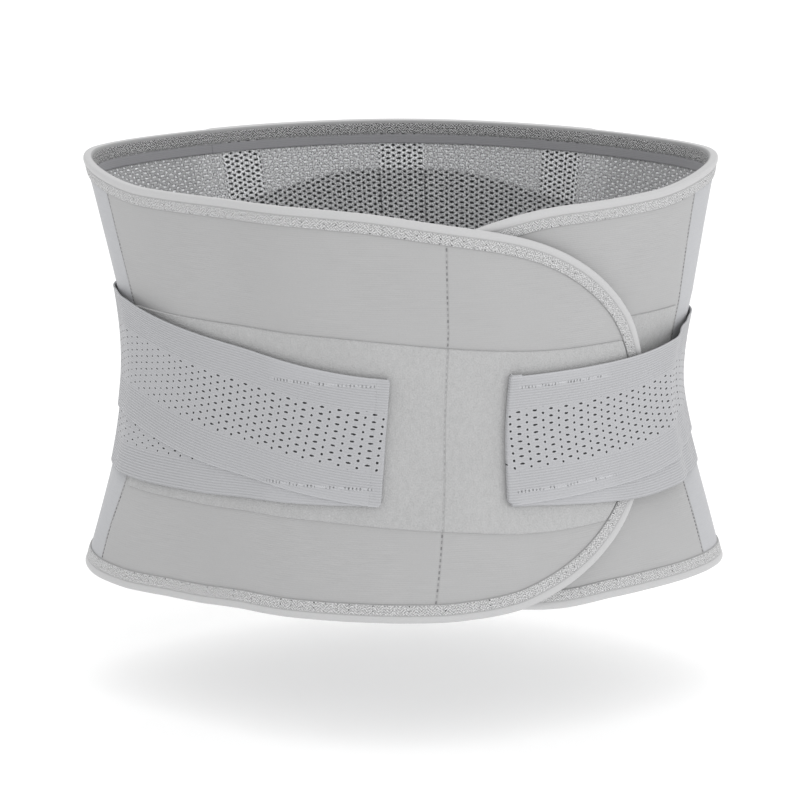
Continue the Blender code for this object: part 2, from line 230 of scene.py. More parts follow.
ARC, SECTION = section_table()
PERIMETER = ARC[-1]
BACK_CENTRE = PERIMETER / 2


def ease(value, low, high):
    share = np.clip((value - low) / (high - low), 0.0, 1.0)
    return share * share * (3 - 2 * share)


def hill(value, middle, width):
    """1 at the middle, falling away smoothly on both sides."""
    return np.exp(-(((value - middle) / width) ** 2))


def wrap(s, z, d):
    """World positions of pattern points."""
    s, z, d = np.broadcast_arrays(np.asarray(s, float), np.asarray(z, float), np.asarray(d, float))
    px, py, nx, ny = (np.interp(s, ARC, column) for column in SECTION)
    rate = np.where(z > WAIST_HEIGHT, FLARE_UP, FLARE_DOWN)
    growth = np.hypot(FLARE_SOFTNESS, rate * (z - WAIST_HEIGHT)) - FLARE_SOFTNESS
    ripple = RIPPLE * (np.sin(s * 71 + z * 23 + 0.6) * 0.6 + np.sin(s * 38 - z * 47 + 2.1) * 0.7)
    out = d + ripple
    lean = np.interp(z, LEAN_HEIGHTS, LEANS)
    x = (WAIST_HALF_WIDTH + growth) * px + out * nx + lean
    y = (WAIST_HALF_DEPTH + DEPTH_FLARE * growth) * py + out * ny + CENTRING_SHIFT
    hem = np.interp(s, HEM_PLACES, HEM_RISES) * MM * ease(z, 0.11, 0.0)
    return np.stack([x, y, z + hem], -1)


def no_lift(s):
    return np.zeros_like(s)


def back_taper(s):
    """The back section thins down to the wings just before its seams."""
    return (WING_OUTER - BACK_OUTER) * ease(np.abs(s - BACK_CENTRE), TAPER_START, BACK_CENTRE - BACK_SEAM)


def left_flap_lift(s):
    return OVERLAP_LIFT * ease(s, *OVERLAP_RAMP)


def left_strap_lift(s):
    return left_flap_lift(s) + PATCH_LIFT * (1 - ease(-s, *PATCH_RAMP))


def right_strap_lift(s):
    return OVERLAP_LIFT * (1 - ease(s, *TIP_RAMP)) + PATCH_LIFT * (1 - ease(s, *PATCH_RAMP))


FLAP_LIFT = {"left": left_flap_lift, "right": no_lift}
STRAP_LIFT = {"left": left_strap_lift, "right": right_strap_lift}


def shoulder(s):
    return FRONT_HEIGHT + (BACK_HEIGHT - FRONT_HEIGHT) * ease(np.abs(s), *SHOULDER)


def wing_edges(side, towards_tip, inset=0.0):
    """Heights of the lower and upper edge at distances measured towards the wing's tip."""
    wing = WINGS[side]
    tip = wing["tip"] - inset

    def rounded(start, edge, straight):
        along = np.clip((towards_tip - start) / (tip - start), 0.0, 1.0)
        across = (1 - along**TIP_SQUARENESS) ** (1 / TIP_SQUARENESS)
        return np.where(towards_tip > start, TIP_HEIGHT + (edge - TIP_HEIGHT) * across, straight)

    low = rounded(wing["bottom_start"], inset, inset)
    high = rounded(wing["top_start"], FRONT_HEIGHT - inset, shoulder(towards_tip) - inset)
    depth, middle, width = wing["sag"]
    share = np.clip((high - TIP_HEIGHT) / (FRONT_HEIGHT - TIP_HEIGHT), 0.0, 1.0)
    return low, high - depth * hill(towards_tip, middle, width) * share


def eastward(side, *values):
    """Values listed towards a wing's tip, put in order of rising s."""
    return [value[:: -WINGS[side]["sign"]] for value in values]


def tip_columns(start, tip, step=COLUMN_STEP):
    """Distances that crowd together towards a rounded tip."""
    bend = max(start, tip - 0.06)
    straight = np.linspace(start, bend, max(2, round((bend - start) / step) + 1))
    turn = np.linspace(0, np.pi / 2, 40)[1:]
    return np.concatenate([straight, bend + (tip - bend) * np.sin(turn)])


def columns(low, high, step=COLUMN_STEP):
    return np.linspace(low, high, max(2, round((high - low) / step) + 1))


def flowing(x, table):
    """A value read from a table of (place, value) in millimetres, rounded off over two centimetres."""
    places, values = np.array(table, float).T * MM
    return sum(np.interp(x + k * 5 * MM, places, values) for k in range(-2, 3)) / 5


# ---------------------------------------------------------------- meshes


def add_mesh(name, points, faces, uvs, material, sewn=None):
    mesh = bpy.data.meshes.new(name)
    mesh.from_pydata(points, [], faces)
    corners = np.empty(len(mesh.loops), np.int32)
    mesh.loops.foreach_get("vertex_index", corners)
    for layer_name, values in (("pattern", uvs), ("sewn", sewn)):
        if values is not None:
            layer = mesh.uv_layers.new(name=layer_name)
            layer.data.foreach_set("uv", np.asarray(values, np.float32)[corners].ravel())
    mesh.polygons.foreach_set("use_smooth", np.ones(len(mesh.polygons), bool))
    mesh.set_sharp_from_angle(angle=math.radians(50))
    mesh.materials.append(material)
    obj = bpy.data.objects.new(name, mesh)
    bpy.context.scene.collection.objects.link(obj)
    return obj


def grid_faces(across, along, first=0, flip=False):
    i, j = np.meshgrid(np.arange(across - 1), np.arange(along - 1), indexing="ij")
    a = first + i * along + j
    quads = np.stack([a, a + along, a + along + 1, a + 1], -1).reshape(-1, 4)
    return quads[:, ::-1] if flip else quads


def slab(name, s, low, high, inner, outer, lift, material, pattern=None, skew=None, bulge=None,
         sewn=None, rounding=0.0004, row_step=COLUMN_STEP):
    """A closed cloth piece between two heights at every distance, with softly rounded edges.

    pattern and sewn turn (s, z) into texture coordinates, skew moves points along
    s and bulge moves them outwards.
    """
    s, low, high = (np.asarray(x, float) for x in (s, low, high))
    area = float(((high - low)[:-1] + (high - low)[1:]) @ np.diff(s) / 2)
    float(high.max() - low.min())
    float(s[-1] - s[0])
    edge = np.minimum(rounding, 0.2 * (high - low))
    marks = np.array([0.0, 0.12, 0.4, 1.0])
    middle = np.linspace(0, 1, max(3, round(float((high - low).max()) / row_step) + 1))[1:-1]
    z = np.concatenate(
        [
            low[:, None] + edge[:, None] * marks,
            (low + edge)[:, None] + (high - low - 2 * edge)[:, None] * middle,
            high[:, None] - edge[:, None] * marks[::-1],
        ],
        axis=1,
    )
    fall = np.minimum(rounding, 0.45 * (outer - inner)) * (1 - np.sqrt(1 - (1 - marks) ** 2))
    drop = np.concatenate([fall, np.zeros(len(middle)), fall[::-1]])
    spread = np.repeat(s[:, None], z.shape[1], 1)
    moved = spread if skew is None else spread + skew(spread, z)
    push = lift(moved) + (0 if bulge is None else bulge(spread, z, low[:, None], high[:, None]))
    skins = [wrap(moved, z, depth + push) for depth in (outer - drop, inner + drop)]
    n, m = z.shape
    points = np.concatenate([skin.reshape(-1, 3) for skin in skins])
    uv = np.stack((spread, z) if pattern is None else pattern(spread, z), -1).reshape(-1, 2)
    more = None if sewn is None else np.tile(np.stack(sewn(spread, z), -1).reshape(-1, 2), (2, 1))
    i, j = np.arange(n - 1), np.arange(m - 1)
    back = n * m
    bottom, top = i * m, i * m + m - 1
    first, last = j, (n - 1) * m + j
    quads = [
        grid_faces(n, m),
        grid_faces(n, m, back, flip=True),
        np.stack([bottom, bottom + back, bottom + m + back, bottom + m], -1),
        np.stack([top + m, top + m + back, top + back, top], -1),
        np.stack([first, first + 1, first + 1 + back, first + back], -1),
        np.stack([last + back, last + 1 + back, last + 1, last], -1),
    ]
    return add_mesh(name, points, np.concatenate(quads).tolist(), np.concatenate([uv, uv]), material, more)


def binding_profile(outer):
    """Cross-section of the folded tape: inward distance, depth and texture coordinate.

    A soft roll lies along the edge, then a sewn groove, then a flat zigzag band
    whose inner edge is rounded down to the cloth. The leg on the wearer's side is
    shorter and flatter. Both legs are listed in millimetres.
    """
    skin = [
        (9.30, 0.05), (9.36, 0.40), (9.22, 0.66), (8.6, 0.80), (7.4, 0.86), (6.0, 0.86), (4.7, 0.80),
        (4.0, 0.66), (3.72, 0.50), (3.4, 0.66), (2.9, 0.90), (2.3, 1.02), (1.6, 1.00), (0.9, 0.82),
        (0.35, 0.46), (0.06, 0.0),
    ]
    lining = [
        (0.06, 0.0), (0.35, 0.40), (0.8, 0.60), (1.25, 0.52), (1.5, 0.42), (1.8, 0.56), (2.6, 0.66),
        (4.2, 0.70), (5.8, 0.68), (6.7, 0.60), (7.15, 0.46), (7.24, 0.22), (7.20, 0.05),
    ]
    outside = [(a * MM, outer + d * MM) for a, d in skin]
    inside = [(a * MM, -d * MM) for a, d in lining]
    edge = [(0.0, outer * 0.66), (0.0, outer * 0.33)]
    fold = [(1.0 * MM, -0.03 * MM), (0.75 * MM, 0.0), (0.75 * MM, outer), (1.0 * MM, outer + 0.03 * MM)]
    texture = [a for a, _ in outside] + [0.0, 0.0] + [-a for a, _ in inside] + [0.0] * len(fold)
    return outside + edge + inside + fold, texture


def tube(name, points, uvs, material, sewn=None, flip=False):
    """A closed tube through rows of points, with flat ends."""
    rows, around = points.shape[:2]
    i = np.arange(rows - 1) * around
    faces = []
    for j in range(around):
        after = (j + 1) % around
        faces.append(np.stack([i + j, i + around + j, i + around + after, i + after], -1))
    faces = np.concatenate(faces)
    ends = [list(range(around)), list(range((rows - 1) * around, rows * around))[::-1]]
    if flip:
        faces, ends = faces[:, ::-1], [end[::-1] for end in ends]
    return add_mesh(name, points.reshape(-1, 3), faces.tolist() + ends, uvs, material, sewn)


def sweep(name, path, outer, lift, material, taper=no_lift, stretch=None):
    """A folded tape along an edge path in (s, z), with the cloth on the path's right.

    lift moves the whole tape, taper only its outer side. stretch is the part of
    the path that is made, from one distance along it to another.
    """
    steps = np.concatenate([[0.0], np.cumsum(np.hypot(*np.diff(path, axis=0).T))])
    first, last = (0.0, float(steps[-1])) if stretch is None else stretch
    BINDING_WIDTH + BINDING_INSIDE + outer
    last - first
    marks = np.concatenate([columns(0, steps[-1]), (first, last)])
    marks = np.unique(marks.round(7))
    made = (marks > first - 1e-6) & (marks < last + 1e-6)
    path = np.stack([np.interp(marks, steps, path[:, k]) for k in (0, 1)], -1)
    along = np.gradient(path, axis=0)
    along /= np.linalg.norm(along, axis=1)[:, None]
    inward = np.stack([along[:, 1], -along[:, 0]], -1)
    profile, texture = binding_profile(outer)
    reach = np.array([a for a, _ in profile])
    depth = np.array([d for _, d in profile])
    s = (path[:, :1] + inward[:, :1] * reach)[made]
    z = (path[:, 1:] + inward[:, 1:] * reach)[made]
    marks = marks[made]
    points = wrap(s, z, depth + lift(s) + taper(s) * np.clip(depth / outer, 0, 1))
    uv = np.stack(np.broadcast_arrays(marks[:, None], np.array(texture)[None, :]), -1).reshape(-1, 2)
    return tube(name, points, uv, material)


# ---------------------------------------------------------------- materials


class Wire:
    """A number that varies over a surface, worked out by shader nodes."""

    def __init__(self, tree, socket):
        self.tree, self.socket = tree, socket

    def math(self, operation, *others):
        node = self.tree.nodes.new("ShaderNodeMath")
        node.operation = operation
        for place, value in zip(node.inputs, (self, *others)):
            self.feed(place, value)
        return Wire(self.tree, node.outputs[0])

    def feed(self, place, value):
        if isinstance(value, Wire):
            self.tree.links.new(value.socket, place)
        else:
            place.default_value = value

    def __add__(self, other):
        return self.math("ADD", other)

    def __sub__(self, other):
        return self.math("SUBTRACT", other)

    def __mul__(self, other):
        return self.math("MULTIPLY", other)

    def __truediv__(self, other):
        return self.math("DIVIDE", other)

    def __abs__(self):
        return self.math("ABSOLUTE")

    def flipped(self):
        return self * -1.0 + 1.0

    def above(self, low, high):
        """0 below low, 1 above high, smooth between."""
        node = self.tree.nodes.new("ShaderNodeMapRange")
        node.interpolation_type = "SMOOTHSTEP"
        self.feed(node.inputs["Value"], self)
        self.feed(node.inputs["From Min"], low)
        self.feed(node.inputs["From Max"], high)
        return Wire(self.tree, node.outputs["Result"])

    def below(self, low, high):
        """1 below low, 0 above high, smooth between."""
        return self.above(low, high).flipped()

    def cell(self, pitch):
        """Signed distance from the middle of the repeating cell this falls in."""
        return ((self / pitch).math("FRACT") - 0.5) * pitch

    def wave(self, pitch):
        """A smooth wave from 0 to 1 with that pitch."""
        return (self * (2 * math.pi / pitch)).math("SINE") * 0.5 + 0.5


def adjust(node, settings):
    for name, value in settings.items():
        node.inputs[name].default_value = value


class Cloth:
    """A fabric material under construction: pattern coordinates, noise and the shader."""

    def __init__(self, name, roughness=0.85, sheen=0.25):
        self.material = bpy.data.materials.new(name)
        self.material.use_nodes = True
        self.tree = self.material.node_tree
        self.shader = self.tree.nodes["Principled BSDF"]
        adjust(self.shader, {"Roughness": roughness, "Specular IOR Level": 0.3})
        adjust(self.shader, {"Sheen Weight": sheen, "Sheen Roughness": 0.5})
        self.uv, self.u, self.v = self.coordinates("pattern")

    def coordinates(self, layer):
        """The texture layer's node and its two coordinates."""
        node = self.tree.nodes.new("ShaderNodeUVMap")
        node.uv_map = layer
        split = self.tree.nodes.new("ShaderNodeSeparateXYZ")
        self.tree.links.new(node.outputs[0], split.inputs[0])
        return node, Wire(self.tree, split.outputs[0]), Wire(self.tree, split.outputs[1])

    def noise(self, size, detail=2.0, stretch=(1.0, 1.0)):
        """Noise from 0 to 1 with features of about that size."""
        place = self.tree.nodes.new("ShaderNodeMapping")
        adjust(place, {"Scale": (stretch[0] / size, stretch[1] / size, 1.0)})
        self.tree.links.new(self.uv.outputs[0], place.inputs[0])
        node = self.tree.nodes.new("ShaderNodeTexNoise")
        node.noise_dimensions = "2D"
        adjust(node, {"Scale": 1.0, "Detail": detail})
        self.tree.links.new(place.outputs[0], node.inputs["Vector"])
        return Wire(self.tree, node.outputs["Fac"])

    def finish(self, colour, shade, height=None, roughness=None, dark=None, hide=None):
        """colour times shade, with height as bump; dark is the colour where hide is 1."""
        scale = self.tree.nodes.new("ShaderNodeVectorMath")
        scale.operation = "SCALE"
        scale.inputs[0].default_value = colour
        self.tree.links.new(shade.socket, scale.inputs["Scale"])
        result = scale.outputs[0]
        if hide is not None:
            mix = self.tree.nodes.new("ShaderNodeMix")
            mix.data_type = "RGBA"
            self.tree.links.new(hide.socket, mix.inputs[0])
            self.tree.links.new(result, mix.inputs[6])
            mix.inputs[7].default_value = (*dark, 1.0)
            result = mix.outputs[2]
        self.tree.links.new(result, self.shader.inputs["Base Color"])
        if height is not None:
            bump = self.tree.nodes.new("ShaderNodeBump")
            adjust(bump, {"Strength": 1.0, "Distance": 1.0})
            self.tree.links.new(height.socket, bump.inputs["Height"])
            self.tree.links.new(bump.outputs[0], self.shader.inputs["Normal"])
        if roughness is not None:
            self.tree.links.new(roughness.socket, self.shader.inputs["Roughness"])
        self.material.diffuse_color = (*colour, 1.0)
        return self.material


def strongest(wires):
    result = wires[0]
    for wire in wires[1:]:
        result = result.math("MAXIMUM", wire)
    return result


def staggered_cells(cloth, along, column, row, shift=0.0):
    """Repeating cells, every other column half a row higher: 1 in odd columns, and the place in the cell."""
    step = along / column
    odd = abs(step.math("FLOOR").math("MODULO", 2.0))
    across = (step.math("FRACT") - 0.5) * column
    upright = ((cloth.v / row + odd * 0.5 + shift).math("FRACT") - 0.5) * row
    return odd, across, upright


def oval(across, upright, half_long, half_high):
    """Distance from the middle of an oval, 1 on its edge."""
    return ((across / half_long).math("POWER", 2.0) + (upright / half_high).math("POWER", 2.0)).math("SQRT")


def stitch_row(cloth, offset, along, pitch, width=0.2 * MM):
    """Needle holes in a row and the dent they sit in, both from 0 to 1."""
    near = abs(offset)
    across = near.below(width, width * 2.2)
    hole = abs(along.cell(pitch)).below(pitch * 0.20, pitch * 0.34)
    uneven = cloth.noise(5.0 * MM, 1.0).above(0.30, 0.62) * 0.6 + 0.4
    return across * hole * uneven, near.below(0.15 * MM, 0.9 * MM)


def front_stitches(cloth):
    """The upright seam a little to the right of the front centre."""
    below = (cloth.v * -1.0 + 0.102).math("MAXIMUM", 0.0)
    line = below * below * -0.75 + below * 0.004 + 0.0198
    return stitch_row(cloth, cloth.u - line, cloth.v, 2.9 * MM)


def panel_material(name, seams=False, far_stitches=False, channels=False):
    """Ribbed panel cloth, with the front seam, the stitches along the side seams or the back's channels."""
    cloth = Cloth(name, roughness=0.8, sheen=0.12)
    rib = cloth.v.wave(1.05 * MM)
    grain = cloth.noise(0.5 * MM, 3.0, (0.5, 1.0))
    streak = cloth.noise(1.2 * MM, 2.0, (0.10, 1.0))
    broad = cloth.noise(45 * MM, 3.0)
    ribbed = cloth.noise(38 * MM, 2.0).above(0.35, 0.65) * 0.7 + 0.3
    weave = ((rib - 0.5) * 0.06 + (streak - 0.5) * 0.10) * ribbed
    shade = broad * 0.06 + 0.97 + (grain - 0.5) * 0.09 + weave
    height = rib * ribbed * (0.022 * MM) + grain * (0.05 * MM) + streak * (0.04 * MM)
    dashes = []
    if seams:
        holes, groove = front_stitches(cloth)
        height = height - groove * (0.20 * MM) - holes * (0.2 * MM)
        shade = shade - groove * 0.06
        dashes.append(holes * 0.60)
    if far_stitches:
        side = abs(cloth.u) - SIDE_SEAM + 0.0008
        holes, groove = stitch_row(cloth, side, cloth.v, 1.9 * MM, 0.22 * MM)
        height = height - groove * (0.25 * MM) - holes * (0.2 * MM)
        shade = shade - groove * 0.10
        dashes.append(holes * (cloth.noise(6 * MM, 1.0).above(0.35, 0.6) * 0.35 + 0.55))
    if channels:
        from_back = abs(cloth.u - BACK_CENTRE)
        length = abs(cloth.v - BACK_HEIGHT / 2).below(90.0 * MM, 90.5 * MM)
        for place in CHANNEL_OFFSETS:
            holes, groove = stitch_row(cloth, from_back - place, cloth.v, 2.2 * MM, 0.22 * MM)
            height = height - (groove * (0.25 * MM) + holes * (0.2 * MM)) * length
            shade = shade - groove * length * 0.08
            dashes.append(holes * length * 0.6)
    return cloth.finish(PANEL_COLOUR, shade, height, dark=(0.06, 0.06, 0.065), hide=strongest(dashes))


def side_material():
    cloth = Cloth("side_knit", roughness=0.78, sheen=0.15)
    grain = cloth.noise(0.7 * MM, 3.0, (1.0, 0.6))
    knit = cloth.u.wave(0.9 * MM) * cloth.v.wave(1.1 * MM)
    streak = cloth.noise(1.6 * MM, 2.0, (0.2, 1.0))
    broad = cloth.noise(50 * MM, 2.0)
    shade = broad * 0.05 + 0.975 + (grain - 0.5) * 0.10 + (knit - 0.25) * 0.05 + (streak - 0.5) * 0.06
    return cloth.finish((0.43, 0.435, 0.45), shade, grain * (0.06 * MM) + knit * (0.03 * MM))


def loop_material(name, seams=False):
    cloth = Cloth(name, roughness=0.95, sheen=0.35)
    pile = cloth.noise(0.8 * MM, 5.0)
    tuft = cloth.noise(2.4 * MM, 3.0, (1.0, 0.6))
    broad = cloth.noise(30 * MM, 2.0)
    shade = broad * 0.08 + 0.94 + (pile - 0.5) * 0.34 + (tuft - 0.5) * 0.16
    height = pile * (0.24 * MM) + tuft * (0.16 * MM)
    hide = None
    if seams:
        holes, groove = front_stitches(cloth)
        height = height - groove * (0.30 * MM)
        shade = shade - groove * 0.05
        hide = holes * 0.35
    return cloth.finish(PILE_COLOUR, shade, height, dark=(0.12, 0.12, 0.125), hide=hide)


def mesh_material():
    """Spacer mesh: a knitted net with staggered oval eyes.

    The eyes are painted near-black where the cloth behind stands off, over the stay pockets and
    the lumbar pad: painted shade in the holes. They are light where the pale shell lies right behind them.
    """
    cloth = Cloth("spacer_mesh", roughness=0.8, sheen=0.15)
    odd, across, upright = staggered_cells(cloth, abs(cloth.u), 2.8 * MM, 2.87 * MM)
    wobble = (cloth.noise(1.2 * MM, 2.0) - 0.5) * 1.3
    reach = oval(across, upright, odd * (0.42 * MM) + 0.72 * MM, odd * (-0.06 * MM) + 0.60 * MM)
    eye = (reach + wobble).below(0.80, 1.30)
    knot = (reach + wobble * 0.4).above(1.15, 1.9)
    fleck = cloth.noise(0.85 * MM, 3.0).above(0.32, 0.68)
    from_back = abs(abs(cloth.u) - BACK_CENTRE)
    strips = strongest(
        [
            abs(from_back - centre).below(half, half + 1.5 * MM)
            for centre, half in ((0.0, 11.5 * MM), (POCKET_OFFSETS[-1], 10.5 * MM))
        ]
    )
    brow = from_back.above(0.02, 0.10) * -0.012 + 0.184
    below_brow = (cloth.v - brow).below(-1.5 * MM, 1.5 * MM)
    hump = below_brow * from_back.below(0.108, 0.116)
    seams = abs(from_back - 0.012).below(0.25 * MM, 0.8 * MM) * hump
    stood_off = strips.math("MAXIMUM", hump)
    over_wing = from_back.above(0.108, 0.122)
    net = fleck * (over_wing * -0.55 + 1.05) + 0.36 + knot * 0.40
    flat_eye = fleck * 0.9 + 1.45
    # painted shade: eyes over the strips and the hump get a near-black tone (0.05)
    eye_shade = stood_off * 0.05 + stood_off.flipped() * flat_eye
    face = hump * -0.06 + strips * hump.flipped() * 0.32 + 0.98
    shade = (net * eye.flipped() * face + eye * eye_shade) * (seams * -0.45 + 1.0)
    height = eye * (-0.5 * MM) + fleck * (0.18 * MM) + knot * (0.2 * MM)
    return cloth.finish((0.41, 0.412, 0.42), shade, height)


def band_material():
    """Elastic webbing: fine ribs along its length and a perforated middle.

    In the pattern layer u runs along the band from its free end and v across it
    from its centre line. In the sewn layer v is level, so that the two rows of
    needle holes of the hook patch run level too.
    """
    cloth = Cloth("perforated_elastic", roughness=0.7, sheen=0.15)
    odd, across, upright = staggered_cells(cloth, cloth.u, 4.4 * MM, 3.55 * MM, shift=0.25)
    far = cloth.u.above(0.060, 0.165)
    shrink = cloth.u.above(0.085, 0.150) * -0.30 + 1.0
    half_long = (odd * (0.48 * MM) + 0.60 * MM) * shrink
    half_high = (odd * (-0.10 * MM) + 0.56 * MM) * shrink
    near_hole = oval(across, upright, half_long, half_high) + (cloth.noise(1.1 * MM, 2.0) - 0.5)
    middle = abs(cloth.v)
    zone = middle.below(14.3 * MM, 14.8 * MM)
    # The perforations are not cut: their near-black colour is painted shade in the holes
    hole = near_hole.below(0.80, 1.15) * zone
    lip = near_hole.above(1.1, 1.5) * near_hole.below(1.6, 2.4) * zone
    rib = abs(cloth.v.cell(1.3 * MM)) / (0.65 * MM) - 0.5
    edge = middle.above(13.8 * MM, 15.5 * MM)
    ribbed = rib * (edge * 0.70 + 0.30) * (far * 0.6 + 0.85)
    thread = cloth.noise(0.45 * MM, 2.0, (0.25, 1.0))
    fleck = cloth.noise(0.5 * MM, 2.0)
    broad = cloth.noise(40 * MM, 2.0)
    # painted highlight: a lighter line along both edges of the band
    painted_edge_highlight = middle.above(29.2 * MM, 30.2 * MM)
    _, run, level = cloth.coordinates("sewn")
    sewn_length = run.above(3 * MM, 6 * MM) * run.below(52 * MM, 64 * MM)
    row_offset = abs(level) - 25 * MM
    in_row = abs(row_offset).below(0.35 * MM, 0.9 * MM) * sewn_length
    needle = in_row * abs(run.cell(1.85 * MM)).below(0.25 * MM, 0.45 * MM)
    needle = needle * fleck.above(0.40, 0.58) * cloth.noise(4.5 * MM, 1.0).above(0.38, 0.55)
    above_row = row_offset.above(0.5 * MM, 1.5 * MM) * sewn_length
    ribbed = ribbed * (above_row * -0.45 + 1.0)
    shade = (
        broad * 0.05 + 1.0 + (thread - 0.5) * 0.14 + (fleck - 0.5) * 0.16 + lip * 0.10 - ribbed * 0.27
        + painted_edge_highlight * 0.06 + above_row * 0.03 + in_row * (fleck - 0.3) * 0.7
    ) * (far * -0.03 + 1.0)
    height = ribbed * (-0.16 * MM) + thread * (0.05 * MM) - hole * (0.5 * MM) - needle * (0.3 * MM)
    # painted shade: the holes take the near-black colour; the needle holes share it
    hide = hole.math("MAXIMUM", needle * 0.8)
    return cloth.finish((0.392, 0.395, 0.409), shade, height, dark=(0.016, 0.016, 0.018), hide=hide)


def ribbed_material():
    cloth = Cloth("ribbed_elastic", roughness=0.75, sheen=0.15)
    rib = cloth.v.wave(0.9 * MM)
    thread = cloth.noise(0.5 * MM, 2.0, (0.3, 1.0))
    edge = abs(cloth.v - 2.5 * MM).above(2.0 * MM, 2.4 * MM)
    shade = rib * 0.08 + 0.94 + (thread - 0.5) * 0.12 - edge * 0.30
    return cloth.finish((0.245, 0.245, 0.256), shade, rib * (0.03 * MM))


def tape_material():
    """Binding tape: a smooth roll, a sewn groove and a zigzag band. v is the inward distance."""
    cloth = Cloth("binding_tape", roughness=0.75, sheen=0.2)
    inward = abs(cloth.v)
    under = cloth.v * -1.0
    outside = cloth.v.above(3.9 * MM, 4.2 * MM) * cloth.v.below(8.95 * MM, 9.15 * MM)
    inside = under.above(1.55 * MM, 1.8 * MM) * under.below(6.75 * MM, 6.95 * MM)
    band = outside.math("MAXIMUM", inside)
    slope = abs(cloth.u.cell(4.6 * MM))
    uneven = (cloth.noise(2.0 * MM, 1.0) - 0.5) * (0.5 * MM)
    line = abs((inward + slope + uneven).cell(1.35 * MM))
    zigzag = (line / (0.675 * MM)).above(0.35, 0.95)
    ragged = cloth.noise(0.75 * MM, 2.0).above(0.36, 0.66)
    weave = cloth.noise(0.4 * MM, 2.0, (0.4, 1.0))
    stitched = zigzag * 0.5 + ragged * 0.5
    pinned = abs((inward - 5.0 * MM).cell(2.4 * MM)).below(0.22 * MM, 0.42 * MM)
    needle = pinned * abs(cloth.u.cell(5.2 * MM)).below(0.22 * MM, 0.45 * MM) * band
    needle = needle * cloth.noise(3.0 * MM, 1.0).above(0.45, 0.55)
    groove = abs(cloth.v - 3.72 * MM).below(0.1 * MM, 0.4 * MM)
    # painted shade: a dark line where each leg's inner edge meets the cloth
    rim = inward.above(9.05 * MM, 9.2 * MM) + under.above(6.95 * MM, 7.1 * MM)
    # painted shade: the leg on the wearer's side is made a third darker
    wearer_leg_shade = cloth.v.below(-0.2 * MM, 0.0)
    shade = (
        (weave - 0.5) * 0.10 + 1.0 + outside * (stitched - 0.43) * 0.95 + inside * (stitched - 0.50) * 1.9
        - groove * 0.20 - needle * 0.55 - rim * 0.35
    ) * (wearer_leg_shade * -0.33 + 1.0)
    height = band * stitched * (0.30 * MM) + weave * (0.03 * MM) - needle * (0.25 * MM)
    return cloth.finish((0.50, 0.50, 0.504), shade, height)


def twill_material():
    cloth = Cloth("twill_tape", roughness=0.8, sheen=0.25)
    twill = (cloth.u + cloth.v).wave(1.1 * MM)
    grain = cloth.noise(0.5 * MM, 3.0)
    shade = twill * 0.07 + 0.93 + (grain - 0.5) * 0.12
    return cloth.finish(TWILL_COLOUR, shade, twill * (0.05 * MM) + grain * (0.05 * MM))


def hook_material():
    cloth = Cloth("hook_tape", roughness=0.55, sheen=0.1)
    post = abs(cloth.u.cell(1.2 * MM)).below(0.2 * MM, 0.4 * MM)
    line = abs(cloth.v.cell(1.0 * MM)).below(0.15 * MM, 0.35 * MM)
    hooks = post * line
    shade = hooks * 0.5 + 0.75 + (cloth.noise(3 * MM) - 0.5) * 0.1
    return cloth.finish((0.30, 0.30, 0.31), shade, hooks * (0.35 * MM))


def foam_material():
    cloth = Cloth("thin_foam", roughness=0.95, sheen=0.1)
    cells = cloth.noise(0.8 * MM, 4.0)
    return cloth.finish((0.53, 0.53, 0.54), cells * 0.3 + 0.85, cells * (0.2 * MM))


def plastic_material():
    cloth = Cloth("satin_plastic", roughness=0.35, sheen=0.0)
    grain = cloth.noise(2.0 * MM, 3.0, (1.0, 0.2))
    shade = grain * 0.08 + 0.96
    return cloth.finish((0.70, 0.71, 0.72), shade, grain * (0.02 * MM), roughness=grain * 0.2 + 0.28)


FRONT = {
    "left": panel_material("front_rib", seams=True, far_stitches=True),
    "right": panel_material("front_rib_right", far_stitches=True),
}
BACK_CLOTH = panel_material("back_rib", channels=True)
SIDE = side_material()
PILE = {"left": loop_material("loop_pile", seams=True), "right": loop_material("loop_pile_right")}
MESH = mesh_material()
ELASTIC = band_material()
RIBBED = ribbed_material()
BINDING = tape_material()
TWILL = twill_material()
HOOKS = hook_material()
FOAM = foam_material()
PLASTIC = plastic_material()


# ---------------------------------------------------------------- pieces


def settle(obj, node, body=None, hinge=None):
    """Ties a finished piece to the frame: hides the part it replaces and parents it to the body it moves
    with, or, given a hinge, only bakes its transform in place.
    """
    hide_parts(node)
    if hinge is None:
        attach(obj, body)
    else:
        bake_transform(obj)
    return obj


def bend_line(side, line):
    """The two ends of a bend, on that side of the belt."""
    return [(WINGS[side]["sign"] * x, y, 0.0) for x, y in line]


def wing_hinge(side):
    return ("back", f"{side}_wing", *bend_line(side, WING_BEND))


def strap_hinge(side):
    return (f"{side}_wing", f"{side}_strap", *bend_line(side, STRAP_BEND))


def wing_panel(name, side, rear, front, inner, outer, material, sway=False):
    """A wing piece from rear to front, or else to the tip, out to the wing's own edges."""
    sign = WINGS[side]["sign"]
    to_tip = front is None
    reach = tip_columns(rear, WINGS[side]["tip"] - EDGE_ROOM) if to_tip else columns(rear, front)
    low, high = wing_edges(side, reach, EDGE_ROOM)

    def skew(s, z):
        """The side seam wanders rearwards below the waist."""
        return sign * SEAM_SWAY[side] * hill(sign * s, SIDE_SEAM, 0.03) * ease(z, 0.056, 0.020)

    return slab(
        name, *eastward(side, -sign * reach, low, high), inner, outer, FLAP_LIFT[side], material,
        skew=skew if sway else None,
    )


